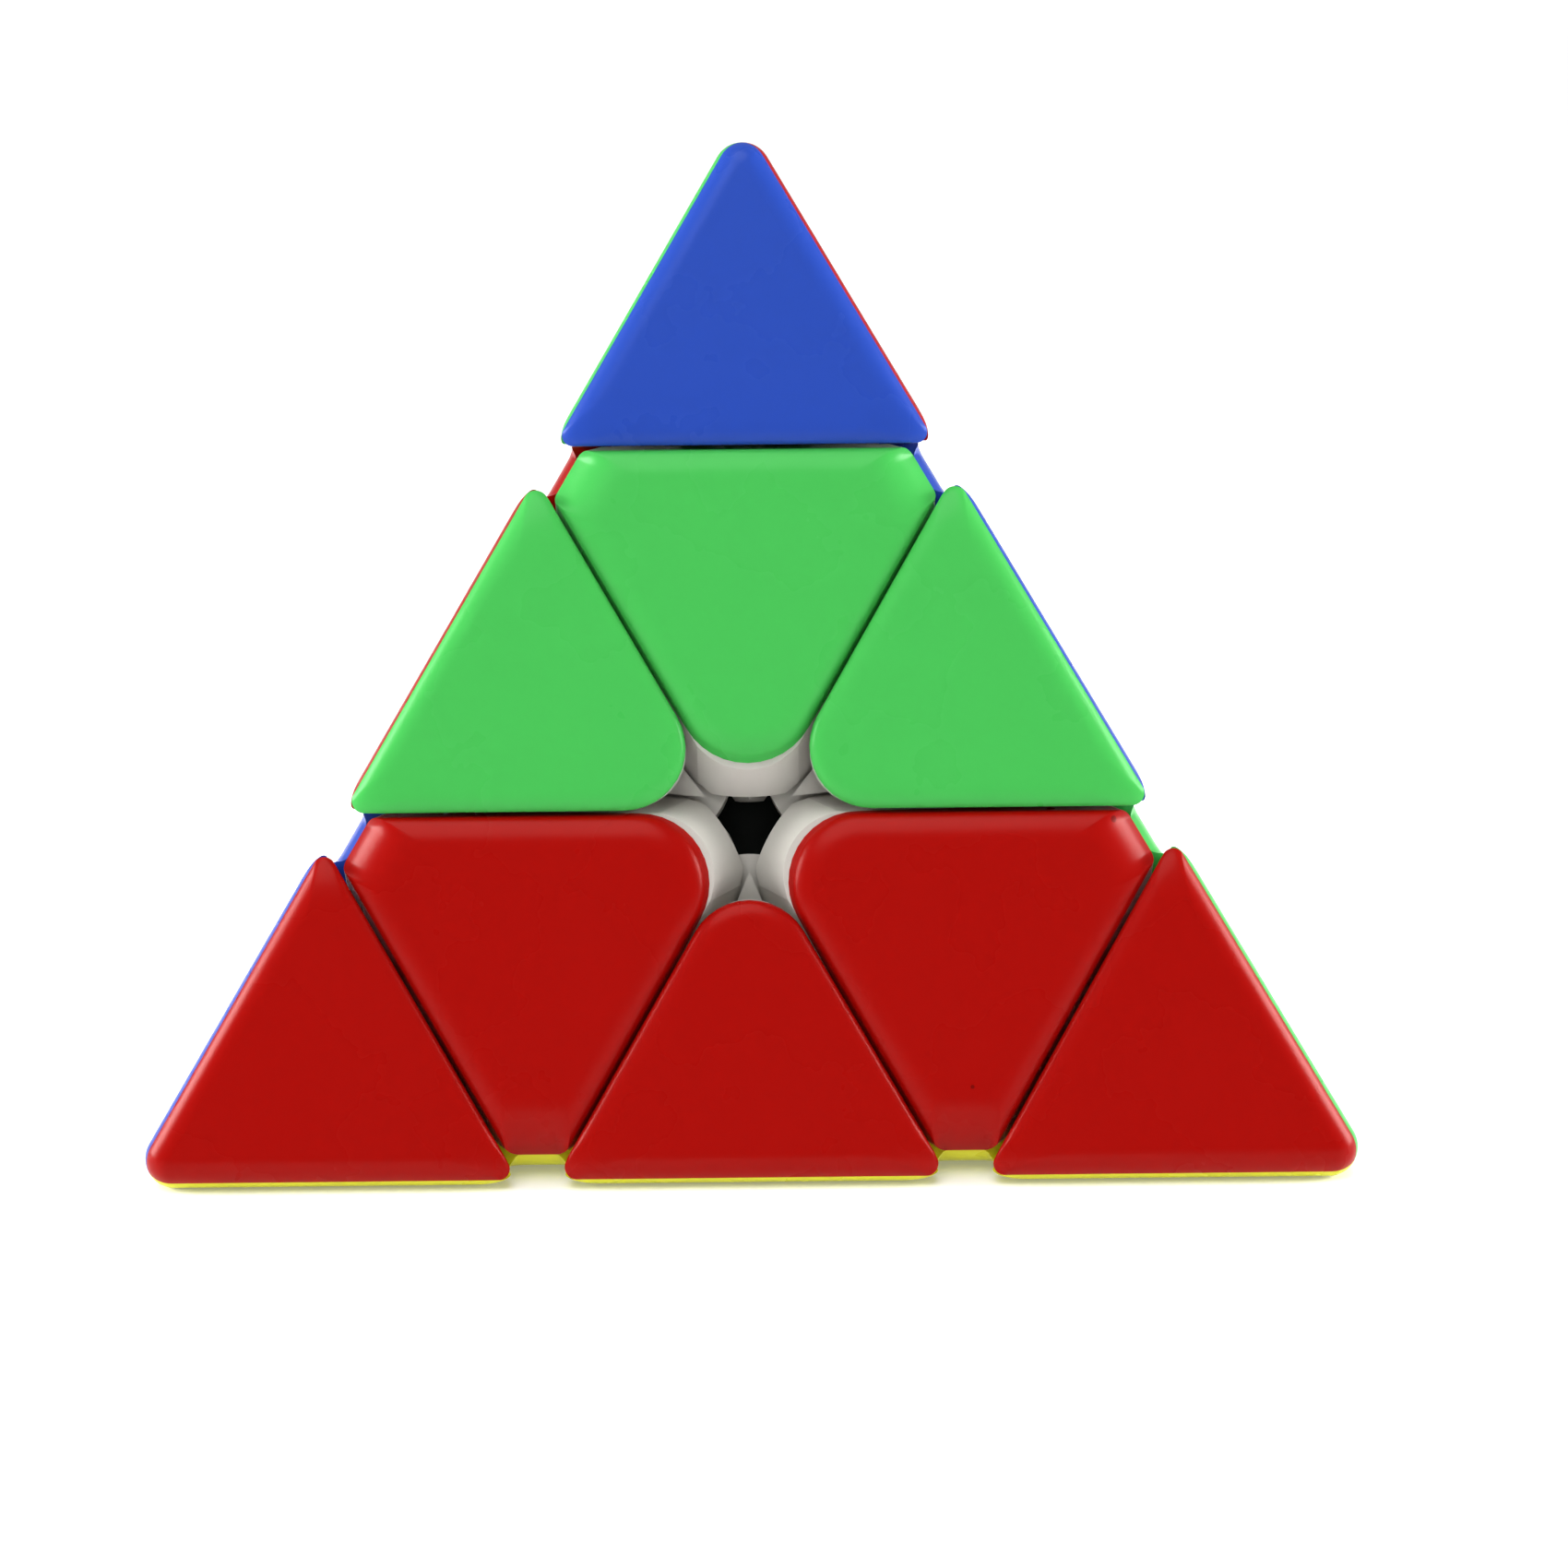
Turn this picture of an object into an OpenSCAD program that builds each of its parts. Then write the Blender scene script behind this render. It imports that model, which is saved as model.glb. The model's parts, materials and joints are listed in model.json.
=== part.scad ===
// Pyramid twisty puzzle: four corner tips, four turning centres and six edge pieces round a core.
// The origin is the core's centre, where the four turning axes meet.
// The corners are numbered 0 top, 1 front left, 2 front right and 3 back.
// A face carries the number of the corner that it lies opposite.

/* [Whole] */
// Side of the pyramid, measured between its sharp corners
edge_len = 104; // [80:0.5:140]
// Gap between neighbouring pieces
run_gap = 0.4; // [0.2:0.05:0.8]

/* [Cuts] */
// Side of a corner tip, measured along the pyramid's sharp edge
tip_edge = 34.9; // [26:0.1:44]
// How far past the face centre each layer is cut
layer_offset = 0.2; // [0:0.1:1.5]

/* [Caps] */
// Thickness of the coloured caps
cap_t = 1.6; // [1:0.1:2.4]
// Thickness of the coloured caps at the pyramid's edges
edge_wall = 2.8; // [2:0.1:4]
// Rounding of the pyramid's edges on the tips and the edge pieces
outer_round = 2.4; // [1.5:0.1:4]
// Rounding of the pyramid's edges on the turning centres
axial_round = 5.6; // [3:0.1:8]
// Rounding of a turning centre's noses, which meet round a face centre
axial_nose = 5.7; // [3:0.1:8]
// Rounding of the inner corner of an edge piece
edge_nose = 5; // [3:0.1:7]
// Radius of the peg that holds a cap
peg_r = 1.5; // [0.8:0.1:2.5]
// Length of the peg below the cap
peg_len = 2; // [1:0.1:3]
// Gap round and below a peg
peg_gap = 0.05; // [0.02:0.01:0.3]

/* [Tracks] */
// Depth of the spherical track below a face centre
track_depth = 5.4; // [4:0.1:7]
// Thickness of the feet that run in the track
foot_t = 4.2; // [3:0.1:6]
// How far a foot reaches under its neighbour
foot_reach = 3.3; // [2:0.1:4]
// Height of the neck of an edge piece above the track
neck_h = 1.2; // [0.8:0.1:2]
// Distance from a face centre's normal to the feet of the turning centres
axial_window = 1.9; // [1:0.1:4]
// Distance from a face centre's normal to the feet of the edge pieces
edge_window = 2.6; // [1:0.1:4]
// Rounding of the ends of the feet
foot_round = 7; // [5:0.1:10]
// How far out from the window the rounding of the feet reaches
window_reach = 5; // [3:0.1:6]

/* [Core] */
// Gap between the core and the feet
core_gap = 0.3; // [0.1:0.05:1]
// Distance from the centre at which the screw holes of the core end
screw_start = 3; // [2.5:0.1:5]
// Gap beyond the end of a screw
screw_end_gap = 0.5; // [0.2:0.1:1]
// Gap round a screw in the core
thread_gap = 0.05; // [0.02:0.01:0.2]

/* [Tip seat] */
// Height of the collar on which a tip turns
collar_h = 5; // [3:0.1:7]
// Wall of the collar
collar_wall = 1.3; // [0.8:0.1:2]
// Gap round the collar in its tip
collar_gap = 0.08; // [0.03:0.01:0.4]
// Gap above the collar in its tip
collar_top_gap = 0.4; // [0.2:0.1:1]
// Least wall of a tip beside its bore
tip_wall = 0.9; // [0.6:0.1:1.5]

/* [Screws] */
// Radius of a screw's shank
shank_r = 1.5; // [1:0.1:2]
// Gap round the shank in a turning centre
shank_gap = 0.25; // [0.1:0.05:0.5]
// Height of a screw's head
head_h = 2; // [1.2:0.1:3]
// Gap round a screw's head in the well
head_gap = 0.6; // [0.3:0.1:1]
// Width of a slot of the cross recess
recess_w = 0.8; // [0.5:0.1:1.2]
// Depth of the cross recess
recess_h = 1.1; // [0.6:0.1:1.5]
// Rim of the head round the cross recess
recess_rim = 1.2; // [0.8:0.1:1.6]
// Thickness of the floor of the well
floor_t = 3; // [2:0.1:4]
// Thickness of a washer
washer_t = 0.6; // [0.4:0.1:1]
// Gap round the shank in a washer
washer_gap = 0.2; // [0.1:0.05:0.5]

/* [Springs] */
// Fitted length of a spring
spring_len = 9; // [6:0.1:12]
// Radius of the spring wire
wire_r = 0.35; // [0.2:0.05:0.5]
// Gap round a spring in the well
spring_gap = 0.5; // [0.3:0.1:1]
// Gap left between a spring and each of its seats
seat_gap = 0.02; // [0.01:0.01:0.1]
// Turns of a spring
spring_turns = 5; // [3:1:8]

/* [Hidden] */
// Distance from the origin to a face, and to a corner
in_r = edge_len * sqrt(6) / 12;
corner_r = 3 * in_r;
// Lean of a lower corner's axis from the top one, and the headings of the corners
lean = acos(-1 / 3);
headings = [0, 210, 330, 90];
// Sine of the lean, and what turns a distance on the bisector of two axes into a height on both
lean_sin = sin(lean);
pair_scale = sqrt(3);
// Heights of the cuts along an axis
tip_w = corner_r - tip_edge * sqrt(2 / 3);
layer_w = in_r / 3 + layer_offset * lean_sin;
foot_w = layer_w - foot_reach;
// Radii of the track, of the inside of the feet and of the core
track_r = in_r - track_depth;
foot_in_r = track_r - run_gap / 2 - foot_t;
core_r = foot_in_r - core_gap;
// The tip's bore leaves a wall beside the faces, and the collar and the well follow it
bore_top_w = tip_w + collar_h + collar_top_gap;
bore_r = (in_r - bore_top_w / 3) / lean_sin - cap_t / lean_sin - tip_wall;
collar_r = bore_r - collar_gap;
well_r = collar_r - collar_wall;
// Heights of the parts in the well
floor_w = foot_in_r + floor_t;
washer_w = floor_w + spring_len;
head_w = washer_w + washer_t;
head_r = well_r - head_gap;
coil_r = well_r - spring_gap - wire_r;
// A rounding meets its flanks a little short of tangent
round_spread = 1.05;
// The ball on a corner is larger than the edges' rounding, and reaches down a band of the corner
corner_spread = 1.3;
corner_band = 0.6;
// Top of the ball that touches the three faces at a corner, its radius, and where it takes over
corner_top_w = corner_r - 2 * outer_round;
corner_ball_r = corner_spread * outer_round;
corner_cut_w = corner_top_w - corner_band * outer_round;
// Lengths that clear the whole pyramid, and a surface that is cut through
big = 2 * edge_len;
clear = 1;
// Sides of round parts
sides = 64;
// Corners of the wire's section and steps in a turn of the spring
wire_sides = 6;
turn_steps = 14;
// Colours
cap_red = [0.67, 0.08, 0.07];
cap_green = [0.31, 0.78, 0.37];
cap_blue = [0.21, 0.34, 0.75];
cap_yellow = [0.91, 0.91, 0.22];
inner_white = [0.86, 0.85, 0.82];
core_black = [0.03, 0.04, 0.04];
steel = [0.7, 0.7, 0.72];

// Directions of the four corners
function low_dir(az) = [lean_sin * cos(az), lean_sin * sin(az), cos(lean)];
function corner_dir(i) = i == 0 ? [0, 0, 1] : low_dir(headings[i]);
function unit(v) = v / norm(v);
// The corners other than one or two given ones
function rest1(i) = [for (k = [0:3]) if (k != i) k];
function rest2(i, j) = [for (k = [0:3]) if (k != i && k != j) k];

// Turns up along an axis
module on_axis(i) {
    tilt = i == 0 ? 0 : lean;
    rotate([0, tilt, headings[i]])
        children();
}

// Turns y and z along two given directions
module on_frame(y, z) {
    x = cross(y, z);
    multmatrix([[x[0], y[0], z[0], 0],
                [x[1], y[1], z[1], 0],
                [x[2], y[2], z[2], 0],
                [0, 0, 0, 1]])
        children();
}

// Whether corners 0 to 3 can be turned to the listed corners
function corner_hand(p) = cross(corner_dir(p[0]), corner_dir(p[1])) * corner_dir(p[2]);
function keeps_hand(p) = corner_hand(p) * corner_hand([0, 1, 2, 3]) > 0;

// Turns corners 0 to 3 to the listed corners
function turn_entry(p, r, c) =
    let (parts = [for (k = [0:3]) corner_dir(p[k])[r] * corner_dir(k)[c]])
    3 / 4 * (parts[0] + parts[1] + parts[2] + parts[3]);
module place(p) {
    m = [for (r = [0:2]) [for (c = [0:2]) turn_entry(p, r, c)]];
    multmatrix([[m[0][0], m[0][1], m[0][2], 0],
                [m[1][0], m[1][1], m[1][2], 0],
                [m[2][0], m[2][1], m[2][2], 0],
                [0, 0, 0, 1]])
        children();
}

// Turns the top corner to corner i
module place_at(i) {
    r = rest1(i);
    moved = [i, r[2], r[0], r[1]];
    swapped = [i, r[0], r[2], r[1]];
    place(keeps_hand(moved) ? moved : swapped)
        children();
}

// Everything higher than w along axis i
module past(i, w) {
    on_axis(i)
        translate([-big, -big, w])
            cube([2 * big, 2 * big, 2 * big]);
}

module ball(r) {
    sphere(r = r, $fn = sides);
}

// What belongs to the layer of corner i
module layer_in(i) {
    past(i, layer_w + run_gap / 2);
    intersection() {
        past(i, foot_w + run_gap / 2);
        ball(track_r - run_gap / 2);
    }
}

// What the pieces outside the layer of corner i leave free
module layer_out(i) {
    past(i, layer_w - run_gap / 2);
    intersection() {
        past(i, foot_w - run_gap / 2);
        ball(track_r + run_gap / 2);
    }
}

// Section that rounds a corner of the pyramid's own angle, which points along y
module corner_section(apex, r) {
    blunt = round_spread * r;
    mid = apex - (pair_scale - 1) * r - blunt;
    low = mid + (apex - mid) / 3;
    difference() {
        translate([-big, low])
            square([2 * big, apex + big - low]);
        translate([0, mid])
            circle(r = blunt, $fn = sides);
    }
}

// Rounds the pyramid's edge from corner i to corner j
module edge_cutter(i, j, r) {
    on_frame(unit(corner_dir(i) + corner_dir(j)), unit(corner_dir(i) - corner_dir(j)))
        linear_extrude(height = big, center = true)
            corner_section(pair_scale * in_r, r);
}

// Rounds a turning centre's nose on face a, between the layers of corners b and c
module axial_nose_cutter(i, a, b, c) {
    on_frame(unit(corner_dir(b) + corner_dir(c)), unit(corner_dir(i) - corner_dir(a)))
        linear_extrude(height = big, center = true)
            corner_section(pair_scale * (layer_w - run_gap / 2), axial_nose);
}

// Rounds the inner edge of the edge piece between corners i and j, above its neck
module edge_nose_cutter(i, j) {
    k = rest2(i, j)[0];
    l = rest2(i, j)[1];
    difference() {
        on_frame(-unit(corner_dir(i) + corner_dir(j)), unit(corner_dir(k) - corner_dir(l)))
            linear_extrude(height = big, center = true)
                corner_section(-pair_scale * (layer_w + run_gap / 2), edge_nose);
        ball(track_r + neck_h);
    }
}

// Rounds corner i to a ball
module corner_cutter(i) {
    on_axis(i)
        difference() {
            translate([-big, -big, corner_cut_w])
                cube([2 * big, 2 * big, big]);
            translate([0, 0, corner_top_w - corner_ball_r])
                sphere(r = corner_ball_r, $fn = sides);
        }
}

// What lies nearer to face a than to face b
module nearer(a, b) {
    on_frame(unit(corner_dir(a) + corner_dir(b)), unit(corner_dir(b) - corner_dir(a)))
        translate([-big, -big, 0])
            cube([2 * big, 2 * big, 2 * big]);
}

// What lies deeper than the caps at the pyramid's edge from corner i to corner j
module under_edge(i, j, r) {
    depth = (pair_scale - 1) * r + edge_wall;
    on_frame(unit(corner_dir(i) + corner_dir(j)), unit(corner_dir(i) - corner_dir(j)))
        translate([-big, pair_scale * in_r - depth - 2 * big, -big])
            cube([2 * big, 2 * big, 2 * big]);
}

// Shaft along the normal of face a, at a distance from its centre toward the given direction
module face_shaft(a, toward, out, r, depth) {
    n = -corner_dir(a);
    flat_dir = unit(toward - (toward * n) * n);
    on_frame(flat_dir, n)
        translate([0, out, in_r - depth])
            cylinder(r = r, h = depth - cap_t / 2, $fn = sides);
}

// A peg stands at the middle of its cap's triangle, at this share of the way from a corner
triangle_mid = 2 / 3;
// Distances of the pegs from the face centre
tip_peg_out = (2 * in_r * sqrt(2)) - tip_edge / sqrt(3);
axial_peg_out = (tip_w - in_r / 3) / lean_sin * triangle_mid;
edge_peg_out = in_r * sqrt(2) * triangle_mid;

module peg(a, toward, out) {
    face_shaft(a, toward, out, peg_r, cap_t + peg_len);
}

module socket(a, toward, out) {
    face_shaft(a, toward, out, peg_r + peg_gap, cap_t + peg_len + peg_gap);
}

// Trims a foot to a round end at the window in face a, through which the core shows
module window(a, toward, out) {
    n = -corner_dir(a);
    flat_dir = unit(toward - (toward * n) * n);
    on_frame(flat_dir, n)
        difference() {
            cylinder(r = out + window_reach, h = track_r, $fn = sides);
            translate([0, out + foot_round, -clear])
                cylinder(r = foot_round, h = in_r, $fn = sides);
        }
}

// Tips ----------------------------------------------------------------

// What belongs to the tip of corner i
module tip_in(i) {
    r = rest1(i);
    difference() {
        past(i, tip_w + run_gap / 2);
        past(r[0], layer_w - run_gap / 2);
        past(r[1], layer_w - run_gap / 2);
        past(r[2], layer_w - run_gap / 2);
    }
}

module tip_outer(i) {
    r = rest1(i);
    difference() {
        intersection() {
            tip_in(i);
            past(r[0], -in_r);
            past(r[1], -in_r);
            past(r[2], -in_r);
        }
        edge_cutter(i, r[0], outer_round);
        edge_cutter(i, r[1], outer_round);
        edge_cutter(i, r[2], outer_round);
        corner_cutter(i);
    }
}

module tip_inner(i) {
    r = rest1(i);
    intersection() {
        past(i, tip_w - run_gap);
        past(r[0], cap_t - in_r);
        past(r[1], cap_t - in_r);
        past(r[2], cap_t - in_r);
        under_edge(i, r[0], outer_round);
        under_edge(i, r[1], outer_round);
        under_edge(i, r[2], outer_round);
    }
}

// The top tip's body
module first_tip_body() {
    difference() {
        intersection() {
            tip_in(0);
            tip_inner(0);
        }
        translate([0, 0, tip_w - run_gap])
            cylinder(r = bore_r, h = bore_top_w - tip_w + run_gap, $fn = sides);
        socket(1, corner_dir(0), tip_peg_out);
        socket(2, corner_dir(0), tip_peg_out);
        socket(3, corner_dir(0), tip_peg_out);
    }
}

module tip_body(i) {
    place_at(i)
        first_tip_body();
}

// The top tip's cap on face 2
module first_tip_cap() {
    difference() {
        intersection() {
            tip_outer(0);
            nearer(2, 1);
            nearer(2, 3);
        }
        tip_inner(0);
    }
    peg(2, corner_dir(0), tip_peg_out);
}

// The same cap on face a of the tip of corner i
module tip_cap(i, a) {
    o = rest2(i, a);
    moved = [i, o[0], a, o[1]];
    swapped = [i, o[1], a, o[0]];
    place(keeps_hand(moved) ? moved : swapped)
        first_tip_cap();
}

// Turning centres -------------------------------------------------------

module axial_noses(i) {
    r = rest1(i);
    axial_nose_cutter(i, r[0], r[1], r[2]);
    axial_nose_cutter(i, r[1], r[2], r[0]);
    axial_nose_cutter(i, r[2], r[0], r[1]);
}

module axial_inner(i) {
    r = rest1(i);
    intersection() {
        past(r[0], cap_t - in_r);
        past(r[1], cap_t - in_r);
        past(r[2], cap_t - in_r);
        under_edge(i, r[0], axial_round);
        under_edge(i, r[1], axial_round);
        under_edge(i, r[2], axial_round);
    }
}

// The top turning centre's body
module first_axial_body() {
    difference() {
        union() {
            difference() {
                intersection() {
                    layer_in(0);
                    axial_inner(0);
                }
                past(0, tip_w - run_gap / 2);
                layer_out(1);
                layer_out(2);
                layer_out(3);
                axial_noses(0);
                window(1, corner_dir(0), axial_window);
                window(2, corner_dir(0), axial_window);
                window(3, corner_dir(0), axial_window);
            }
            translate([0, 0, head_w])
                cylinder(r = collar_r, h = tip_w + collar_h - head_w, $fn = sides);
        }
        ball(foot_in_r);
        cylinder(r = shank_r + shank_gap, h = washer_w, $fn = sides);
        translate([0, 0, floor_w])
            cylinder(r = well_r, h = tip_w + collar_h + clear - floor_w, $fn = sides);
        socket(1, corner_dir(0), axial_peg_out);
        socket(2, corner_dir(0), axial_peg_out);
        socket(3, corner_dir(0), axial_peg_out);
    }
}

module axial_body(i) {
    place_at(i)
        first_axial_body();
}

// The top turning centre's cap on face 3
module first_axial_cap() {
    difference() {
        intersection() {
            past(0, layer_w + run_gap / 2);
            past(3, -in_r);
            nearer(3, 1);
            nearer(3, 2);
        }
        past(0, tip_w - run_gap / 2);
        past(1, layer_w - run_gap / 2);
        past(2, layer_w - run_gap / 2);
        edge_cutter(0, 1, axial_round);
        edge_cutter(0, 2, axial_round);
        axial_nose_cutter(0, 3, 1, 2);
        axial_inner(0);
    }
    peg(3, corner_dir(0), axial_peg_out);
}

// The same cap on face a of the turning centre of corner i
module axial_cap(i, a) {
    o = rest2(i, a);
    moved = [i, o[0], o[1], a];
    swapped = [i, o[1], o[0], a];
    place(keeps_hand(moved) ? moved : swapped)
        first_axial_cap();
}

// Edge pieces -----------------------------------------------------------

module edge_inner(i, j) {
    o = rest2(i, j);
    intersection() {
        past(o[0], cap_t - in_r);
        past(o[1], cap_t - in_r);
        under_edge(i, j, outer_round);
    }
}

// The top left edge piece's body
module first_edge_body() {
    toward = corner_dir(0) + corner_dir(1);
    difference() {
        intersection() {
            layer_in(0);
            layer_in(1);
            edge_inner(0, 1);
        }
        layer_out(2);
        layer_out(3);
        past(0, tip_w - run_gap / 2);
        past(1, tip_w - run_gap / 2);
        ball(foot_in_r);
        edge_nose_cutter(0, 1);
        window(2, toward, edge_window);
        window(3, toward, edge_window);
        socket(2, toward, edge_peg_out);
        socket(3, toward, edge_peg_out);
    }
}

module edge_body(i, j) {
    o = rest2(i, j);
    moved = [i, j, o[0], o[1]];
    swapped = [j, i, o[0], o[1]];
    place(keeps_hand(moved) ? moved : swapped)
        first_edge_body();
}

// The top left edge piece's cap on face 3
module first_edge_cap() {
    difference() {
        intersection() {
            past(0, layer_w + run_gap / 2);
            past(1, layer_w + run_gap / 2);
            past(3, -in_r);
            nearer(3, 2);
        }
        past(0, tip_w - run_gap / 2);
        past(1, tip_w - run_gap / 2);
        edge_cutter(0, 1, outer_round);
        edge_nose_cutter(0, 1);
        edge_inner(0, 1);
    }
    peg(3, corner_dir(0) + corner_dir(1), edge_peg_out);
}

// The same cap on face a of the edge piece between corners i and j
module edge_cap(i, j, a) {
    b = 6 - i - j - a;
    moved = [i, j, b, a];
    swapped = [j, i, b, a];
    place(keeps_hand(moved) ? moved : swapped)
        first_edge_cap();
}

// Core, screws, washers and springs ---------------------------------------

module core() {
    color(core_black)
        difference() {
            ball(core_r);
            for (i = [0:3])
                on_axis(i)
                    translate([0, 0, screw_start])
                        cylinder(r = shank_r + thread_gap, h = core_r, $fn = sides);
        }
}

module screw() {
    shank_w = screw_start + screw_end_gap;
    recess_r = head_r - recess_rim;
    recess_w0 = head_w + head_h - recess_h;
    difference() {
        union() {
            translate([0, 0, shank_w])
                cylinder(r = shank_r, h = head_w - shank_w + head_h / 2, $fn = sides);
            translate([0, 0, head_w])
                cylinder(r = head_r, h = head_h, $fn = sides);
        }
        translate([-recess_r, -recess_w / 2, recess_w0])
            cube([2 * recess_r, recess_w, recess_h + clear]);
        translate([-recess_w / 2, -recess_r, recess_w0])
            cube([recess_w, 2 * recess_r, recess_h + clear]);
    }
}

module axis_screws() {
    color(steel)
        for (i = [0:3])
            on_axis(i)
                screw();
}

module spring_washers() {
    color(steel)
        for (i = [0:3])
            on_axis(i)
                difference() {
                    translate([0, 0, washer_w])
                        cylinder(r = head_r, h = washer_t, $fn = sides);
                    translate([0, 0, washer_w - clear])
                        cylinder(r = shank_r + washer_gap, h = washer_t + 2 * clear, $fn = sides);
                }
}

spring_steps = spring_turns * turn_steps;
spring_low = floor_w + seat_gap + wire_r;
spring_rise = spring_len - 2 * (seat_gap + wire_r);

function coil_point(s, k) =
    let (az = 360 * s / turn_steps)
    let (side = 360 * (k + 1 / 2) / wire_sides)
    let (r = coil_r + wire_r * cos(side))
    [r * cos(az), r * sin(az), spring_low + spring_rise * s / spring_steps + wire_r * sin(side)];

// Coil whose wire has a plain six-sided section with a corner toward each seat
module spring() {
    points = [for (s = [0:spring_steps]) for (k = [0:wire_sides - 1]) coil_point(s, k)];
    walls = [for (s = [0:spring_steps - 1]) for (k = [0:wire_sides - 1])
        let (m = (k + 1) % wire_sides)
        [s * wire_sides + k, s * wire_sides + m, (s + 1) * wire_sides + m, (s + 1) * wire_sides + k]];
    first = [for (k = [0:wire_sides - 1]) wire_sides - 1 - k];
    last = [for (k = [0:wire_sides - 1]) spring_steps * wire_sides + k];
    polyhedron(points = points, faces = concat(walls, [first], [last]));
}

module axis_springs() {
    color(steel)
        for (i = [0:3])
            on_axis(i)
                spring();
}

// Sub-parts ----------------------------------------------------------------

module axial_top_body() {
    color(inner_white)
        axial_body(0);
}

module axial_top_cap_front() {
    color(cap_green)
        axial_cap(0, 3);
}

module axial_top_cap_left() {
    color(cap_red)
        axial_cap(0, 2);
}

module axial_top_cap_right() {
    color(cap_blue)
        axial_cap(0, 1);
}

module axial_left_body() {
    color(inner_white)
        axial_body(1);
}

module axial_left_cap_front() {
    color(cap_red)
        axial_cap(1, 3);
}

module axial_left_cap_left() {
    color(cap_blue)
        axial_cap(1, 2);
}

module axial_left_cap_bottom() {
    color(cap_yellow)
        axial_cap(1, 0);
}

module axial_right_body() {
    color(inner_white)
        axial_body(2);
}

module axial_right_cap_front() {
    color(cap_red)
        axial_cap(2, 3);
}

module axial_right_cap_right() {
    color(cap_green)
        axial_cap(2, 1);
}

module axial_right_cap_bottom() {
    color(cap_yellow)
        axial_cap(2, 0);
}

module axial_back_body() {
    color(inner_white)
        axial_body(3);
}

module axial_back_cap_left() {
    color(cap_blue)
        axial_cap(3, 2);
}

module axial_back_cap_right() {
    color(cap_green)
        axial_cap(3, 1);
}

module axial_back_cap_bottom() {
    color(cap_yellow)
        axial_cap(3, 0);
}

module edge_top_left_body() {
    color(inner_white)
        edge_body(0, 1);
}

module edge_top_left_cap_front() {
    color(cap_green)
        edge_cap(0, 1, 3);
}

module edge_top_left_cap_left() {
    color(cap_red)
        edge_cap(0, 1, 2);
}

module edge_top_right_body() {
    color(inner_white)
        edge_body(0, 2);
}

module edge_top_right_cap_front() {
    color(cap_green)
        edge_cap(0, 2, 3);
}

module edge_top_right_cap_right() {
    color(cap_blue)
        edge_cap(0, 2, 1);
}

module edge_top_back_body() {
    color(inner_white)
        edge_body(0, 3);
}

module edge_top_back_cap_left() {
    color(cap_red)
        edge_cap(0, 3, 2);
}

module edge_top_back_cap_right() {
    color(cap_blue)
        edge_cap(0, 3, 1);
}

module edge_left_right_body() {
    color(inner_white)
        edge_body(1, 2);
}

module edge_left_right_cap_front() {
    color(cap_red)
        edge_cap(1, 2, 3);
}

module edge_left_right_cap_bottom() {
    color(cap_yellow)
        edge_cap(1, 2, 0);
}

module edge_right_back_body() {
    color(inner_white)
        edge_body(2, 3);
}

module edge_right_back_cap_right() {
    color(cap_green)
        edge_cap(2, 3, 1);
}

module edge_right_back_cap_bottom() {
    color(cap_yellow)
        edge_cap(2, 3, 0);
}

module edge_back_left_body() {
    color(inner_white)
        edge_body(3, 1);
}

module edge_back_left_cap_left() {
    color(cap_blue)
        edge_cap(3, 1, 2);
}

module edge_back_left_cap_bottom() {
    color(cap_yellow)
        edge_cap(3, 1, 0);
}

module tip_top_body() {
    color(inner_white)
        tip_body(0);
}

module tip_top_cap_front() {
    color(cap_blue)
        tip_cap(0, 3);
}

module tip_top_cap_left() {
    color(cap_green)
        tip_cap(0, 2);
}

module tip_top_cap_right() {
    color(cap_red)
        tip_cap(0, 1);
}

module tip_left_body() {
    color(inner_white)
        tip_body(1);
}

module tip_left_cap_front() {
    color(cap_red)
        tip_cap(1, 3);
}

module tip_left_cap_left() {
    color(cap_blue)
        tip_cap(1, 2);
}

module tip_left_cap_bottom() {
    color(cap_yellow)
        tip_cap(1, 0);
}

module tip_right_body() {
    color(inner_white)
        tip_body(2);
}

module tip_right_cap_front() {
    color(cap_red)
        tip_cap(2, 3);
}

module tip_right_cap_right() {
    color(cap_green)
        tip_cap(2, 1);
}

module tip_right_cap_bottom() {
    color(cap_yellow)
        tip_cap(2, 0);
}

module tip_back_body() {
    color(inner_white)
        tip_body(3);
}

module tip_back_cap_left() {
    color(cap_blue)
        tip_cap(3, 2);
}

module tip_back_cap_right() {
    color(cap_green)
        tip_cap(3, 1);
}

module tip_back_cap_bottom() {
    color(cap_yellow)
        tip_cap(3, 0);
}

core();
axis_screws();
spring_washers();
axis_springs();
axial_top_body();
axial_top_cap_front();
axial_top_cap_left();
axial_top_cap_right();
axial_left_body();
axial_left_cap_front();
axial_left_cap_left();
axial_left_cap_bottom();
axial_right_body();
axial_right_cap_front();
axial_right_cap_right();
axial_right_cap_bottom();
axial_back_body();
axial_back_cap_left();
axial_back_cap_right();
axial_back_cap_bottom();
edge_top_left_body();
edge_top_left_cap_front();
edge_top_left_cap_left();
edge_top_right_body();
edge_top_right_cap_front();
edge_top_right_cap_right();
edge_top_back_body();
edge_top_back_cap_left();
edge_top_back_cap_right();
edge_left_right_body();
edge_left_right_cap_front();
edge_left_right_cap_bottom();
edge_right_back_body();
edge_right_back_cap_right();
edge_right_back_cap_bottom();
edge_back_left_body();
edge_back_left_cap_left();
edge_back_left_cap_bottom();
tip_top_body();
tip_top_cap_front();
tip_top_cap_left();
tip_top_cap_right();
tip_left_body();
tip_left_cap_front();
tip_left_cap_left();
tip_left_cap_bottom();
tip_right_body();
tip_right_cap_front();
tip_right_cap_right();
tip_right_cap_bottom();
tip_back_body();
tip_back_cap_left();
tip_back_cap_right();
tip_back_cap_bottom();
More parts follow.
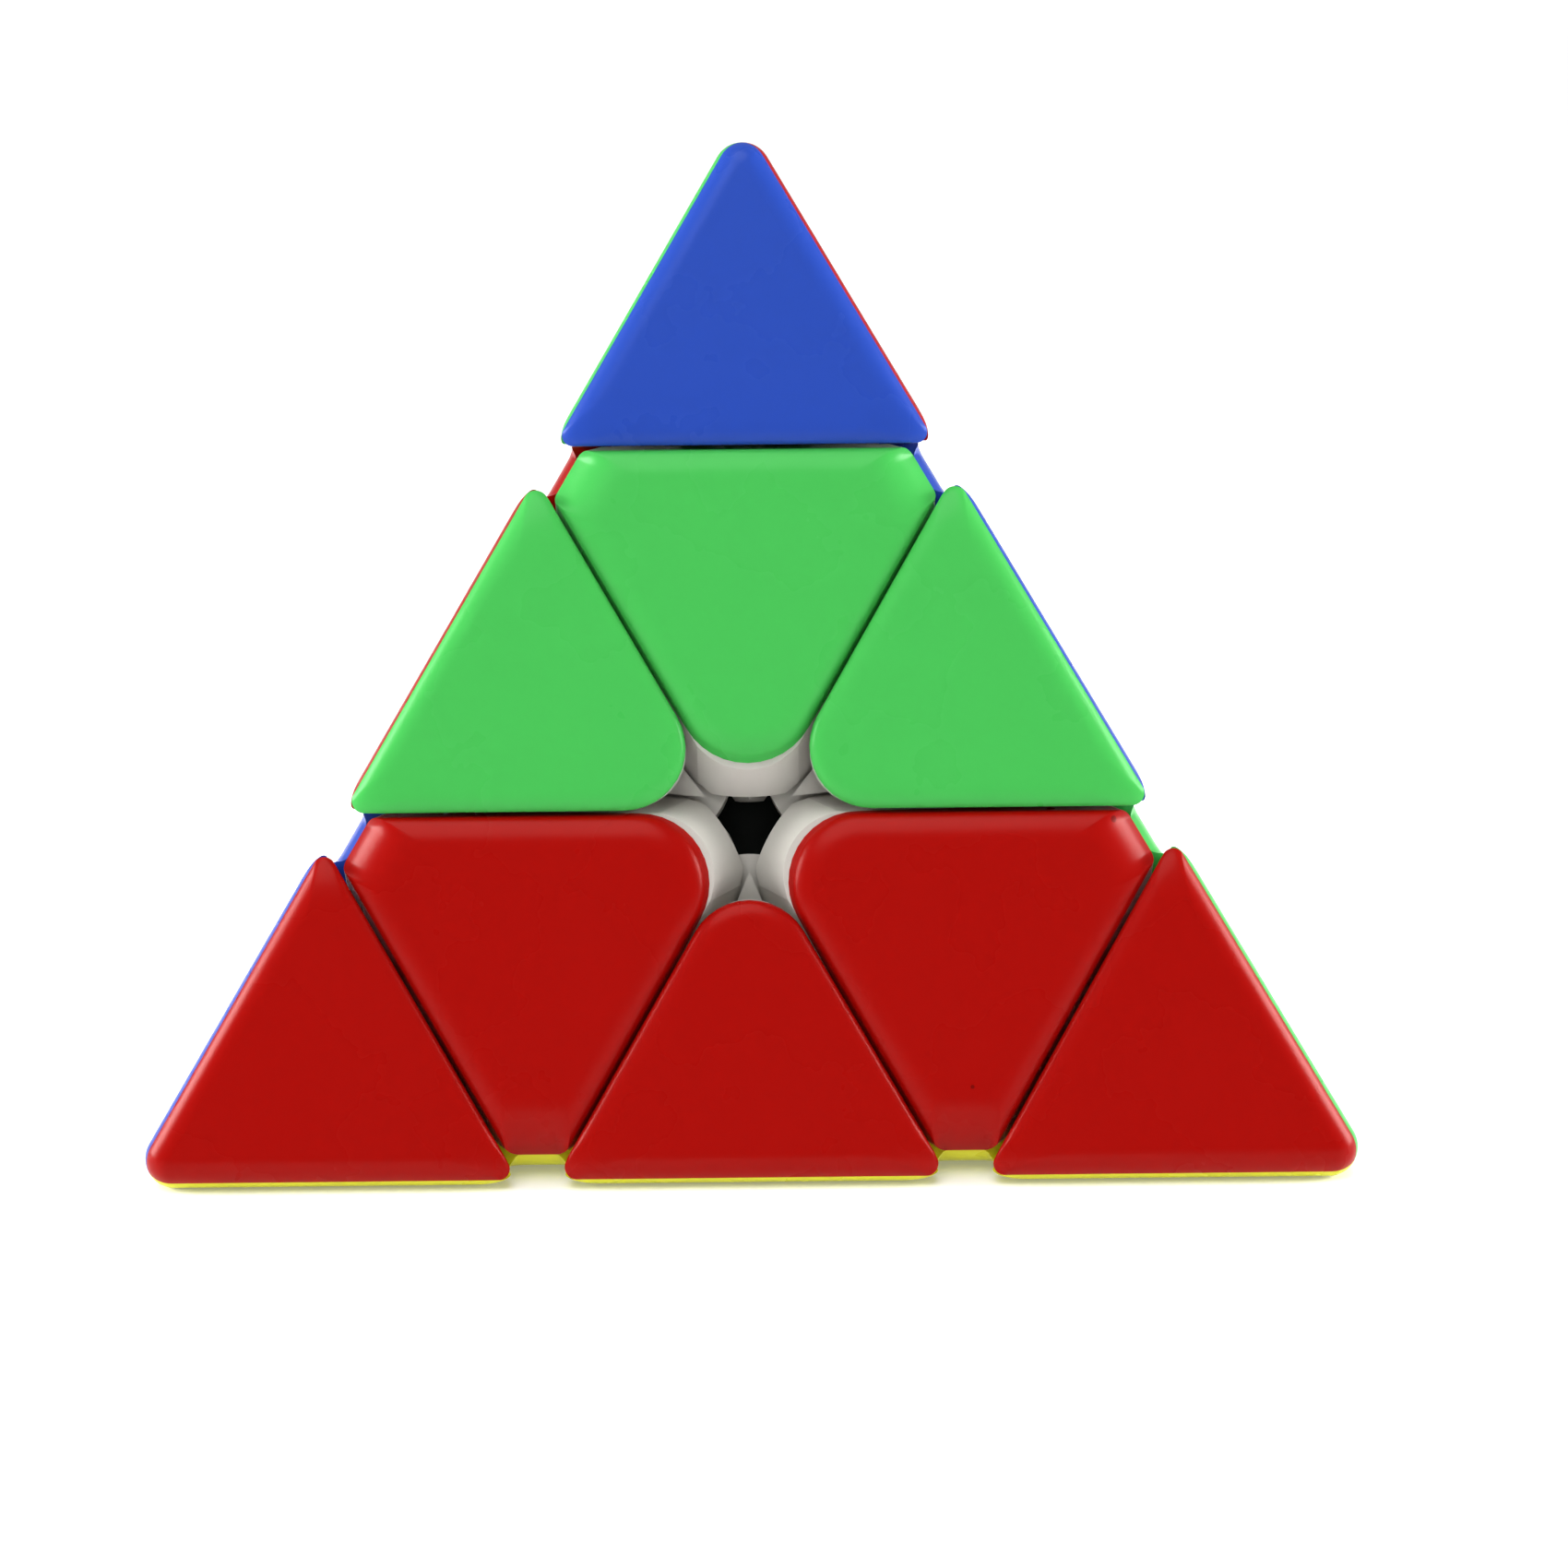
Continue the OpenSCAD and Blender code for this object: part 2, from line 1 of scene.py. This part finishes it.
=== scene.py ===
"""Looks of the pyramid twisty puzzle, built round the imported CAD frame.

The coloured caps are rebuilt with softly rounded edges and ride on the same bodies.
The white bodies, the core and the hardware stay the CAD nodes, with procedural materials.
"""

import json
import math

import bmesh
import bpy
from mathutils import Matrix, Vector


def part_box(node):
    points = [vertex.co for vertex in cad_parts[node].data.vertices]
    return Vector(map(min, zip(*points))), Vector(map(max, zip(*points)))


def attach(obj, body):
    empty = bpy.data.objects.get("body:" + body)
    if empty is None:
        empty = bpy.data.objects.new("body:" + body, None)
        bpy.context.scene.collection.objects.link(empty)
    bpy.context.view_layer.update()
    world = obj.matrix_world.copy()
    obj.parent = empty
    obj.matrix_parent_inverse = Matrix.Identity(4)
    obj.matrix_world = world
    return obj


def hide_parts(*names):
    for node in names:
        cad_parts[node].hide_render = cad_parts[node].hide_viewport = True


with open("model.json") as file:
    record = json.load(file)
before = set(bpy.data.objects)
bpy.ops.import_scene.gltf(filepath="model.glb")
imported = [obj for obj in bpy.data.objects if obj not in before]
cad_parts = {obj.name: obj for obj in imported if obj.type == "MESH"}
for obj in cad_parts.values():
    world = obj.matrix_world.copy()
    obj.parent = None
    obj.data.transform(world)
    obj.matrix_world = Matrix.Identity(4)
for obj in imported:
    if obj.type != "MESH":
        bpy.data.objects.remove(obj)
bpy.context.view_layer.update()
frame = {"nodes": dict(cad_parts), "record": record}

# Sizes ------------------------------------------------------------------
MM = 0.001

# Rounding of the pyramid's edges on tips and edge pieces, and on turning centres.
OUTER_ROUND = 2.4 * MM
AXIAL_ROUND = 5.6 * MM
# Corner radii of a cap's outline: the noses round a face centre, and the other corners.
AXIAL_NOSE = 5.7 * MM
EDGE_NOSE = 5.0 * MM
TIP_CORNER = 0.9 * MM
EDGE_CORNER = 1.0 * MM
AXIAL_CORNER = 1.2 * MM
# Corner radius where a bevel ends in the face.
SOFT_CORNER = 2.0 * MM
# Bevel along the cuts: its width and its depth.
CUT_BEVEL = 2.1 * MM
CUT_DROP = 1.1 * MM
# Depth of a cap's walls at its noses and at its other corners, how far they stand proud of
# the white body's walls, and their length below the seam on the pyramid's edge.
NOSE_DEPTH = 1.6 * MM
WALL_DEPTH = 3.0 * MM
PROUD = 0.03 * MM
SEAM_WALL = 0.9 * MM
# Steps in a bevel and in a corner.
BEVEL_STEPS = 8
CORNER_STEPS = 12

# Cosine and sine of the lean of a face's neighbours, and the turn from a face to the seam.
FACE_COS = 1 / 3
FACE_SIN = math.sqrt(8) / 3
SEAM_TURN = math.atan(math.sqrt(2))
# How far from the sharp edge a rounding of radius 1 ends in the face.
TANGENT_INSET = math.sqrt(2)
THIRD = 2 * math.pi / 3

# Corners are numbered 0 top, 1 left, 2 right, 3 back; a face has its far corner's number.
CORNERS = {"top": 0, "left": 1, "right": 2, "back": 3}
FACES = {"bottom": 0, "right": 1, "left": 2, "front": 3}


def low_axis(heading):
    """Axis of a lower corner with this heading in degrees."""
    turn = math.radians(heading)
    return Vector((FACE_SIN * math.cos(turn), FACE_SIN * math.sin(turn), -FACE_COS))


# Headings in degrees, from +X, of the left, right and back corners.
HEADINGS = (210, 330, 90)
AXES = [Vector((0, 0, 1))] + [low_axis(heading) for heading in HEADINGS]

# The frame gives the face distance and the heights of the cuts along an axis.
IN_R = -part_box("edge_left_right_cap_bottom")[0].z
TIP_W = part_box("tip_top_cap_front")[0].z
AXIAL_TOP_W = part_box("axial_top_cap_front")[1].z
LAYER_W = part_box("edge_top_left_cap_front")[0].z
AXIAL_SIDE_W = LAYER_W - (TIP_W - AXIAL_TOP_W)


# Outlines of the caps ------------------------------------------------------
def cut_side(height, lean, sign):
    """A cut across an axis, as a side of an outline in its face.

    The axis leans by this angle from y. The cap lies above the cut if sign is 1, and
    below it if sign is -1. The wall slopes with depth, and the side has no rounding.
    """
    turn = math.pi / 2 + lean
    outward = Vector((math.cos(turn), math.sin(turn))) * -sign
    reach = -sign * (height - IN_R * FACE_COS) / FACE_SIN + PROUD
    return {"out": outward, "reach": reach, "slope": -sign * FACE_COS / FACE_SIN, "round": 0}


def pyramid_side(lean, rounding):
    """The pyramid's sharp edge opposite the corner that leans by this angle from y."""
    turn = math.pi / 2 + lean
    outward = -Vector((math.cos(turn), math.sin(turn)))
    return {"out": outward, "reach": IN_R * math.sqrt(2), "slope": 0, "round": rounding}


def profile(side, share):
    """Inset and depth of a side at this share of its bevel: 0 at the rim, 1 on the face."""
    if side["round"]:
        turn = SEAM_TURN * (1 - share)
        inset = side["round"] * (TANGENT_INSET - math.sin(turn))
        depth = side["round"] * (1 - math.cos(turn))
    else:
        turn = math.pi / 2 * (1 - share)
        depth = CUT_DROP * (1 - math.cos(turn))
        inset = CUT_BEVEL * (1 - math.sin(turn)) - side["slope"] * depth
    return inset, depth


def foot(side, depth):
    """Inset and depth of a side at the foot of its wall, which is this deep along a cut."""
    if side["round"]:
        radius = side["round"] - SEAM_WALL
        inset = side["round"] * TANGENT_INSET - radius * math.sin(SEAM_TURN)
        return inset, side["round"] - radius * math.cos(SEAM_TURN)
    return -side["slope"] * depth, depth


def crossing(a, inset_a, b, inset_b):
    """Where two sides cross when each is moved in by its inset."""
    da, db = a["reach"] - inset_a, b["reach"] - inset_b
    na, nb = a["out"], b["out"]
    det = na.x * nb.y - na.y * nb.x
    return Vector(((da * nb.y - db * na.y) / det, (db * na.x - da * nb.x) / det))


def ball_corner(a, b, share, below):
    """Points of a ring round the pyramid's corner, where two rounded edges meet in a ball."""
    radius = a["round"]
    centre = crossing(a, radius * TANGENT_INSET, b, radius * TANGENT_INSET)
    start = math.atan2(a["out"].y, a["out"].x)
    for step in range(CORNER_STEPS + 1):
        swing = THIRD * step / CORNER_STEPS
        edge_turn = min(swing, THIRD - swing)
        lean = math.atan(math.sqrt(2) / math.cos(edge_turn)) * (1 - share)
        out = (radius - below) * math.sin(lean)
        turn = start + swing
        yield (
            centre.x + out * math.cos(turn),
            centre.y + out * math.sin(turn),
            radius - (radius - below) * math.cos(lean),
        )


def arc_corner(a, b, place_a, place_b, radius):
    """Points of a ring round a plain corner: an arc that is tangent to both sides."""
    tip = crossing(a, place_a[0], b, place_b[0])
    start = math.atan2(a["out"].y, a["out"].x)
    sweep = (math.atan2(b["out"].y, b["out"].x) - start) % (2 * math.pi)
    centre = tip - (a["out"] + b["out"]).normalized() * radius / math.cos(sweep / 2)
    for step in range(CORNER_STEPS + 1):
        share = step / CORNER_STEPS
        blend = share * share * (3 - 2 * share)
        turn = start + sweep * share
        yield (
            centre.x + radius * math.cos(turn),
            centre.y + radius * math.sin(turn),
            place_a[1] + (place_b[1] - place_a[1]) * blend,
        )


def ring(sides, radii, share, below=0.0):
    """Points (x, y, depth) once round a cap at this share of its bevel.

    Corner k lies between side k - 1 and side k. below is the wall's length at its foot.
    """
    points = []
    for k, full in enumerate(radii):
        a, b = sides[k - 1], sides[k]
        if a["round"] and b["round"]:
            points += ball_corner(a, b, share, below)
        elif below:
            depth = NOSE_DEPTH if full > SOFT_CORNER else WALL_DEPTH
            points += arc_corner(a, b, foot(a, depth), foot(b, depth), full)
        else:
            place_a, place_b = profile(a, share), profile(b, share)
            moved = min(place_a[0] - profile(a, 0)[0], place_b[0] - profile(b, 0)[0])
            radius = max(full - moved, full + (SOFT_CORNER - full) * share)
            points += arc_corner(a, b, place_a, place_b, radius)
    return points


TIP_SIDES = [
    cut_side(TIP_W, 0, 1),
    pyramid_side(THIRD, OUTER_ROUND),
    pyramid_side(-THIRD, OUTER_ROUND),
]
TIP_RADII = [TIP_CORNER, TIP_CORNER, 0]

AXIAL_SIDES = [
    cut_side(AXIAL_TOP_W, 0, -1),
    pyramid_side(-THIRD, AXIAL_ROUND),
    cut_side(AXIAL_SIDE_W, THIRD, -1),
    cut_side(AXIAL_SIDE_W, -THIRD, -1),
    pyramid_side(THIRD, AXIAL_ROUND),
]
AXIAL_RADII = [AXIAL_CORNER, AXIAL_CORNER, AXIAL_CORNER, AXIAL_NOSE, AXIAL_CORNER]

EDGE_SIDES = [
    pyramid_side(0, OUTER_ROUND),
    cut_side(LAYER_W, THIRD, 1),
    cut_side(LAYER_W, -THIRD, 1),
]
EDGE_RADII = [EDGE_CORNER, EDGE_CORNER, EDGE_NOSE]


def build_cap(node, body, face, toward, sides, radii, slot):
    """A cap that stands for its CAD node; y of its outline points toward a corner's axis."""
    normal = -AXES[face]
    y = (toward - toward.dot(normal) * normal).normalized()
    x = y.cross(normal)
    rings = [ring(sides, radii, 0, below=SEAM_WALL)]
    rings += [ring(sides, radii, step / BEVEL_STEPS) for step in range(BEVEL_STEPS + 1)]

    bm = bmesh.new()
    rows = [
        [bm.verts.new(normal * (IN_R - d) + x * px + y * py) for px, py, d in points]
        for points in rings
    ]
    count = len(rows[0])
    for low, high in zip(rows, rows[1:]):
        for k in range(count):
            m = (k + 1) % count
            bm.faces.new((low[k], low[m], high[m], high[k]))
    bm.faces.new(rows[-1])
    bm.faces.new(list(reversed(rows[0])))
    for f in bm.faces:
        f.smooth = True
    for row in (rows[0], rows[1]):
        for k in range(count):
            bm.edges.get((row[k], row[(k + 1) % count])).smooth = False
    mesh = bpy.data.meshes.new(node + "_look")
    bm.to_mesh(mesh)
    bm.free()
    mesh.materials.append(LOOKS[slot])
    piece = bpy.data.objects.new(node + "_look", mesh)
    bpy.context.scene.collection.objects.link(piece)
    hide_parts(node)
    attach(piece, body)


# Materials ----------------------------------------------------------------
# Plastic: refraction and share of mirror reflection.
PLASTIC_IOR = 1.5
PLASTIC_SHEEN = 0.16
# Patches of duller gloss: how many a metre, how fine, and how far they go each way.
PATCH_SCALE = 90
PATCH_DETAIL = 4
GLOSSIER = 0.04
DULLER = 0.05
# Specks: cells a metre, the share of cells without one, and the size of the largest
# as a share of its cell.
SPECK_SCALE = 170
SPECK_FREE = 0.9
SPECK_SIZE = 0.055
# Orange peel: dimples a metre, how fine, and how deep.
PEEL_SCALE = 1100
PEEL_DETAIL = 2
PEEL_DEPTH = 0.02 * MM
# Steel: colour, marks a metre, and roughness where it is brightest and dullest.
STEEL_COLOUR = (0.62, 0.62, 0.64, 1)
STEEL_SCALE = 600
STEEL_BRIGHT = 0.25
STEEL_DULL = 0.42


def new_look(name):
    """A material of this name: its nodes, its links, its shader and its object coordinates."""
    look = bpy.data.materials.new(name)
    look.use_nodes = True
    nodes, links = look.node_tree.nodes, look.node_tree.links
    place = nodes.new("ShaderNodeTexCoord")
    return look, nodes, links, nodes["Principled BSDF"], place.outputs["Object"]


def vary_roughness(nodes, links, shader, noise, low, high):
    """Lets a noise set the roughness between these two values."""
    dull = nodes.new("ShaderNodeMapRange")
    dull.inputs["To Min"].default_value = low
    dull.inputs["To Max"].default_value = high
    links.new(noise.outputs["Fac"], dull.inputs["Value"])
    links.new(dull.outputs["Result"], shader.inputs["Roughness"])


def plastic(name, colour, tint, roughness, grain, speck=0.0):
    """Moulded plastic: fine orange peel, patches of slightly duller gloss and rare specks.

    tint colours its mirror reflection, grain is the strength of the orange peel, and speck
    is how much darker the specks are.
    """
    look, nodes, links, shader, place = new_look(name)
    shader.inputs["IOR"].default_value = PLASTIC_IOR
    shader.inputs["Specular IOR Level"].default_value = PLASTIC_SHEEN
    shader.inputs["Specular Tint"].default_value = (*tint, 1)

    patches = nodes.new("ShaderNodeTexNoise")
    patches.inputs["Scale"].default_value = PATCH_SCALE
    patches.inputs["Detail"].default_value = PATCH_DETAIL
    links.new(place, patches.inputs["Vector"])
    vary_roughness(nodes, links, shader, patches, roughness - GLOSSIER, roughness + DULLER)

    specks = nodes.new("ShaderNodeTexVoronoi")
    specks.inputs["Scale"].default_value = SPECK_SCALE
    links.new(place, specks.inputs["Vector"])
    sizes = nodes.new("ShaderNodeSeparateColor")
    links.new(specks.outputs["Color"], sizes.inputs["Color"])
    rare = nodes.new("ShaderNodeMapRange")
    rare.inputs["From Min"].default_value = SPECK_FREE
    rare.inputs["From Max"].default_value = 1.0
    rare.inputs["To Max"].default_value = SPECK_SIZE
    links.new(sizes.outputs["Red"], rare.inputs["Value"])
    spot = nodes.new("ShaderNodeMath")
    spot.operation = "LESS_THAN"
    links.new(specks.outputs["Distance"], spot.inputs[0])
    links.new(rare.outputs["Result"], spot.inputs[1])
    mixed = nodes.new("ShaderNodeMix")
    mixed.data_type = "RGBA"
    mixed.inputs["A"].default_value = (*colour, 1)
    mixed.inputs["B"].default_value = (*[c * (1 - speck) for c in colour], 1)
    links.new(spot.outputs["Value"], mixed.inputs["Factor"])
    links.new(mixed.outputs["Result"], shader.inputs["Base Color"])

    peel = nodes.new("ShaderNodeTexNoise")
    peel.inputs["Scale"].default_value = PEEL_SCALE
    peel.inputs["Detail"].default_value = PEEL_DETAIL
    links.new(place, peel.inputs["Vector"])
    bump = nodes.new("ShaderNodeBump")
    bump.inputs["Strength"].default_value = grain
    bump.inputs["Distance"].default_value = PEEL_DEPTH
    links.new(peel.outputs["Fac"], bump.inputs["Height"])
    links.new(bump.outputs["Normal"], shader.inputs["Normal"])
    return look


def metal(name):
    """Plain zinc-plated steel of the screws, washers and springs."""
    look, nodes, links, shader, place = new_look(name)
    shader.inputs["Base Color"].default_value = STEEL_COLOUR
    shader.inputs["Metallic"].default_value = 1
    wear = nodes.new("ShaderNodeTexNoise")
    wear.inputs["Scale"].default_value = STEEL_SCALE
    links.new(place, wear.inputs["Vector"])
    vary_roughness(nodes, links, shader, wear, STEEL_BRIGHT, STEEL_DULL)
    return look


# Roughness, orange peel and darkness of the specks of the caps.
CAP_FINISH = (0.27, 0.5, 0.5)
# Mirror reflection without a tint.
PLAIN = (1, 1, 1)
LOOKS = {
    "cap_red": plastic("cap_red", (0.29, 0.002, 0.001), (1, 0.5, 0.45), *CAP_FINISH),
    "cap_green": plastic("cap_green", (0.050, 0.400, 0.070), (0.7, 1, 0.75), *CAP_FINISH),
    "cap_blue": plastic("cap_blue", (0.018, 0.055, 0.35), (0.6, 0.7, 1), *CAP_FINISH),
    "cap_yellow": plastic("cap_yellow", (0.62, 0.62, 0.02), (1, 1, 0.7), *CAP_FINISH),
    "internals_white": plastic("internals_white", (0.52, 0.50, 0.46), PLAIN, 0.4, 0.4, 0.7),
    "core_black": plastic("core_black", (0.003, 0.005, 0.004), PLAIN, 0.5, 0.4),
    "steel": metal("steel"),
}

# Pieces -------------------------------------------------------------------
BODY_OF = {
    node: body
    for body, members in frame["record"]["behaviour"]["bodies"].items()
    for node in members
}
for part in frame["record"]["subparts"]:
    node, slot = part["node"], part["material_slot"]
    words = node.split("_")
    if "cap" not in words:
        mesh = frame["nodes"][node].data
        mesh.materials.clear()
        mesh.materials.append(LOOKS[slot])
        continue
    face = FACES[words[-1]]
    corners = [CORNERS[w] for w in words[1:-2]]
    if words[0] == "tip":
        shape = (AXES[corners[0]], TIP_SIDES, TIP_RADII)
    elif words[0] == "axial":
        shape = (AXES[corners[0]], AXIAL_SIDES, AXIAL_RADII)
    else:
        far = sum(FACES.values()) - sum(corners) - face
        shape = (AXES[far], EDGE_SIDES, EDGE_RADII)
    build_cap(node, BODY_OF[node], face, *shape, slot)


# Floor, light and camera ----------------------------------------------------
# Half the floor's width, height of the pale sheet at its far end, and their own glow,
# which keeps them white up to the horizon.
FLOOR_REACH = 40
BACKDROP_HEIGHT = 2
FLOOR_GLOW = 0.16
BACKDROP_GLOW = 1.0
SHEET_COLOUR = (0.93, 0.93, 0.93, 1)
SHEET_ROUGHNESS = 0.9
SHEET_SHEEN = 0.1

# The two soft lights stand left and right of the puzzle: distance to the side, distance
# behind its centre and height above it, width, power in watts, and the height they aim at.
SIDE_REACH = 0.8
SIDE_BEHIND = 0.02
SIDE_HEIGHT = 0.26
SIDE_WIDTH = 0.4
SIDE_POWER = 9.4
SIDE_AIM = 0.01

# Overhead light: its strength, how wide it looks from the puzzle, and where it shines.
SUN_STRENGTH = 2.1
SUN_SPREAD = math.radians(50)
SUN_AIM = Vector((0.15, 0.35, -0.92))
# Even light from all round.
ROOM_STRENGTH = 0.32

# Camera: height angle, roll, lens and sensor in mm, distance from the point it aims at,
# and how far right of the face centre and above it that point lies.
ELEVATION = math.radians(15.5)
ROLL = math.radians(-0.6)
LENS = 63.5
SENSOR = 36
NEAREST = 0.01
VIEW_DISTANCE = 221 * MM
AIM_RIGHT = 2.9 * MM
AIM_UP = 2.7 * MM


def sheet(name, corners, glow):
    """Matt pale sheet of the set with this much glow."""
    look = bpy.data.materials.new(name)
    look.use_nodes = True
    shader = look.node_tree.nodes["Principled BSDF"]
    shader.inputs["Base Color"].default_value = SHEET_COLOUR
    shader.inputs["Roughness"].default_value = SHEET_ROUGHNESS
    shader.inputs["Specular IOR Level"].default_value = SHEET_SHEEN
    shader.inputs["Emission Color"].default_value = (1, 1, 1, 1)
    shader.inputs["Emission Strength"].default_value = glow
    mesh = bpy.data.meshes.new(name)
    mesh.from_pydata(corners, [], [(0, 1, 2, 3)])
    mesh.materials.append(look)
    plane = bpy.data.objects.new(name, mesh)
    bpy.context.scene.collection.objects.link(plane)


def soft_light(name, place, target, size, power):
    """Square area light of this size, aimed at the target."""
    data = bpy.data.lights.new(name, "AREA")
    data.size = size
    data.energy = power
    lamp = bpy.data.objects.new(name, data)
    bpy.context.scene.collection.objects.link(lamp)
    lamp.location = place
    aim = Vector(target) - Vector(place)
    lamp.rotation_euler = aim.to_track_quat("-Z", "Y").to_euler()


def overhead_light():
    """Wide soft light from above."""
    data = bpy.data.lights.new("sun", "SUN")
    data.energy = SUN_STRENGTH
    data.angle = SUN_SPREAD
    lamp = bpy.data.objects.new("sun", data)
    bpy.context.scene.collection.objects.link(lamp)
    lamp.rotation_euler = SUN_AIM.to_track_quat("-Z", "Y").to_euler()


def room_light():
    """White surroundings."""
    world = bpy.data.worlds.new("studio")
    bpy.context.scene.world = world
    world.use_nodes = True
    background = world.node_tree.nodes["Background"]
    background.inputs["Color"].default_value = (1, 1, 1, 1)
    background.inputs["Strength"].default_value = ROOM_STRENGTH


def camera():
    """Camera in front of the puzzle, a little above and aimed just beside the face centre."""
    data = bpy.data.cameras.new("camera")
    data.lens = LENS
    data.sensor_width = SENSOR
    data.clip_start = NEAREST
    cam = bpy.data.objects.new("camera", data)
    bpy.context.scene.collection.objects.link(cam)
    back = Vector((0, -math.cos(ELEVATION), math.sin(ELEVATION)))
    up = Vector((0, math.sin(ELEVATION), math.cos(ELEVATION)))
    face_centre = -AXES[FACES["front"]] * IN_R
    aim = face_centre + Vector((AIM_RIGHT, 0, 0)) + up * AIM_UP
    turn = (-back).to_track_quat("-Z", "Y").to_matrix()
    cam.matrix_world = (
        Matrix.Translation(aim + back * VIEW_DISTANCE)
        @ Matrix.Rotation(ROLL, 4, back)
        @ turn.to_4x4()
    )
    bpy.context.scene.camera = cam


FAR = FLOOR_REACH
LOW = -IN_R
HIGH = LOW + BACKDROP_HEIGHT
flat = [(-FAR, -FAR, LOW), (FAR, -FAR, LOW), (FAR, FAR, LOW), (-FAR, FAR, LOW)]
upright = [(-FAR, FAR, LOW), (FAR, FAR, LOW), (FAR, FAR, HIGH), (-FAR, FAR, HIGH)]
sheet("floor", flat, FLOOR_GLOW)
sheet("backdrop", upright, BACKDROP_GLOW)
for name, way in (("left", -1), ("right", 1)):
    place = (way * SIDE_REACH, SIDE_BEHIND, SIDE_HEIGHT)
    soft_light(name, place, (0, 0, SIDE_AIM), SIDE_WIDTH, SIDE_POWER)
overhead_light()
room_light()
bpy.context.scene.view_settings.view_transform = "Standard"
camera()
